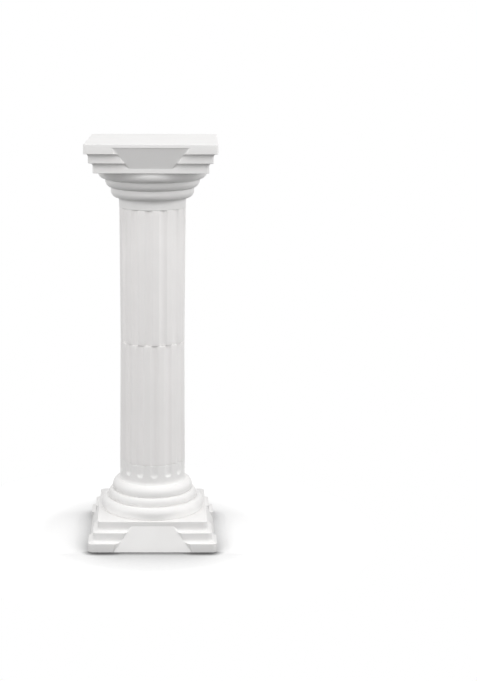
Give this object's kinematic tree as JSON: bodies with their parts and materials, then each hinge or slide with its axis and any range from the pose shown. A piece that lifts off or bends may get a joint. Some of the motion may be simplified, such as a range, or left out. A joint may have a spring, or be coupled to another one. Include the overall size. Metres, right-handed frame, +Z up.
{
  "type": "display column",
  "caption": "White moulded-plastic display column: fluted round shaft between a stepped square capital and a matching foot, both with round rings and sunk panels.",
  "frame": {"origin": "centre of the underside of the foot, on the surface that the column stands on", "axes": "+Z up along the column's axis, -Y out of the front face of the foot, +X to the right of that face"},
  "size_m": [0.2868, 0.2868, 0.88],
  "materials": {
    "moulded_ends": "white polystyrene, satin as moulded",
    "moulded_shaft": "white polystyrene, satin as moulded, faintly warmer"
  },
  "bodies": {
    "root": {"capital": "moulded_ends", "upper_shaft": "moulded_shaft", "lower_shaft": "moulded_shaft", "base": "moulded_ends"}
  },
  "joints": []
}
